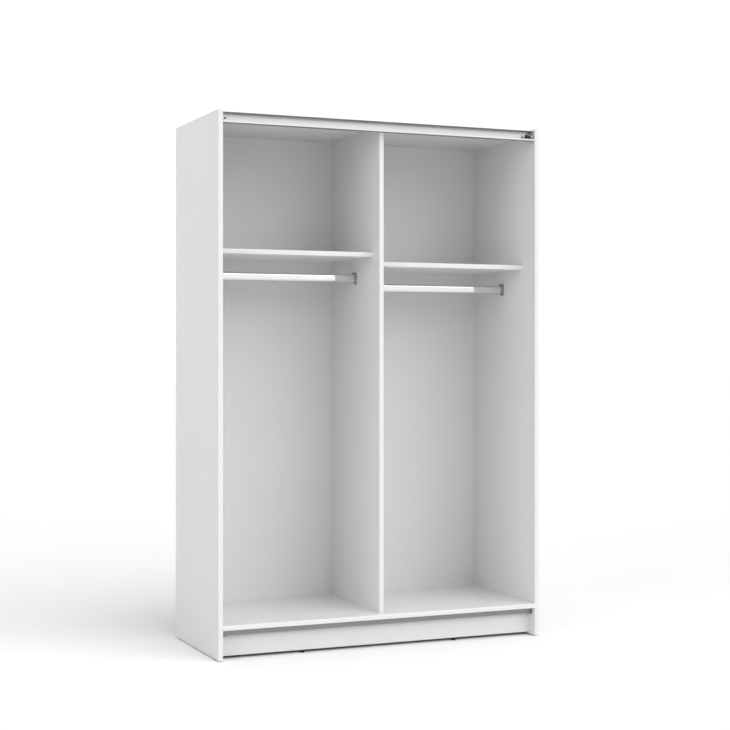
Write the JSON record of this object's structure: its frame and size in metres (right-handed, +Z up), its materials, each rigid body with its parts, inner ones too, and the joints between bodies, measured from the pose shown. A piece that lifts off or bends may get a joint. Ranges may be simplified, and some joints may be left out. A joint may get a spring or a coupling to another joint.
{
  "type": "sliding door wardrobe",
  "caption": "White freestanding wardrobe carcass with open bays, hanging rails, staggered shelves and a top track with stops for hanging sliding doors, shown doors off.",
  "frame": {"origin": "middle of the footprint, on the floor", "axes": "+X to the right seen from the front, -Y out of the open front, +Z up"},
  "size_m": [1.192, 0.484, 1.8],
  "materials": {
    "white_board": "chipboard faced with smooth satin white melamine",
    "white_back_sheet": "thin fibreboard with a white lacquered face",
    "white_edge_band": "white banding, satin",
    "chromed_tube": "chromed steel tube, bright",
    "nickel_casting": "nickel-plated die casting, satin",
    "anodised_track": "extruded aluminium, clear anodised",
    "anodised_guide": "extruded aluminium, matt anodised",
    "black_plastic": "moulded black plastic, matt",
    "black_rubber": "moulded black rubber-like plastic",
    "grey_plastic": "moulded dark grey plastic",
    "white_plastic": "moulded white plastic",
    "zinc_casting": "zinc die casting",
    "zinc_steel": "zinc-plated steel",
    "beech": "fluted beech dowel"
  },
  "bodies": {
    "carcass": {"side_panel_left": "white_board", "side_panel_right": "white_board", "top_panel": "white_board", "bottom_panel": "white_board", "centre_divider": "white_board", "shelf_left": "white_board", "shelf_right": "white_board", "front_plinth": "white_board", "rear_plinth": "white_board", "plinth_brace": "white_board", "back_sheet_left": "white_back_sheet", "back_sheet_right": "white_back_sheet", "edge_band_side_left": "white_edge_band", "edge_band_side_right": "white_edge_band", "edge_band_bottom": "white_edge_band", "edge_band_divider": "white_edge_band", "edge_band_shelf_left": "white_edge_band", "edge_band_shelf_right": "white_edge_band", "rail_bracket_left_outer": "nickel_casting", "rail_bracket_left_inner": "nickel_casting", "rail_bracket_right_inner": "nickel_casting", "rail_bracket_right_outer": "nickel_casting", "top_track": "anodised_track", "guide_rail": "anodised_guide", "stop_washers": "black_plastic", "guide_end_cap_left": "black_plastic", "guide_end_cap_right": "black_plastic", "side_glides": "black_plastic", "foot_inserts": "grey_plastic", "cam_caps": "white_plastic", "stop_sleeve_left": "white_plastic", "stop_sleeve_right": "white_plastic", "cam_housings_top": "zinc_casting", "cam_housings_bottom": "zinc_casting", "cam_housings_shelves": "zinc_casting", "cam_housings_plinths": "zinc_casting", "rail_bracket_screws": "zinc_steel", "track_screws": "zinc_steel", "guide_rail_screws": "zinc_steel", "cam_bolts_top": "zinc_steel", "cam_bolts_bottom": "zinc_steel", "cam_bolts_shelves": "zinc_steel", "cam_bolts_plinths": "zinc_steel", "divider_screws": "zinc_steel", "back_nails": "zinc_steel", "dowels_top": "beech", "dowels_bottom": "beech", "dowels_shelves": "beech", "dowels_plinths": "beech"},
    "rail_left": {"hanging_rail_left": "chromed_tube"},
    "rail_right": {"hanging_rail_right": "chromed_tube"},
    "buffer_left": {"stop_buffer_left": "black_rubber"},
    "buffer_right": {"stop_buffer_right": "black_rubber"},
    "foot_front_left": {"foot_front_left": "black_plastic"},
    "foot_front_right": {"foot_front_right": "black_plastic"},
    "foot_rear_left": {"foot_rear_left": "black_plastic"},
    "foot_rear_right": {"foot_rear_right": "black_plastic"}
  },
  "joints": [
    {"name": "rail_left_lift", "type": "slide", "parent": "carcass", "child": "rail_left", "axis": [0, 0, 1], "range_m": [0, 0.045]},
    {"name": "rail_right_lift", "type": "slide", "parent": "carcass", "child": "rail_right", "axis": [0, 0, 1], "range_m": [0, 0.045]},
    {"name": "stop_left_press", "type": "slide", "parent": "carcass", "child": "buffer_left", "axis": [-1, 0, 0], "range_m": [0, 0.008], "stiffness_N_per_m": 500},
    {"name": "stop_right_press", "type": "slide", "parent": "carcass", "child": "buffer_right", "axis": [1, 0, 0], "range_m": [0, 0.012], "stiffness_N_per_m": 500},
    {"name": "foot_front_left_adjust", "type": "slide", "parent": "carcass", "child": "foot_front_left", "axis": [0, 0, 1], "range_m": [0, 0.005]},
    {"name": "foot_front_right_adjust", "type": "slide", "parent": "carcass", "child": "foot_front_right", "axis": [0, 0, 1], "range_m": [0, 0.005]},
    {"name": "foot_rear_left_adjust", "type": "slide", "parent": "carcass", "child": "foot_rear_left", "axis": [0, 0, 1], "range_m": [0, 0.005]},
    {"name": "foot_rear_right_adjust", "type": "slide", "parent": "carcass", "child": "foot_rear_right", "axis": [0, 0, 1], "range_m": [0, 0.005]}
  ]
}
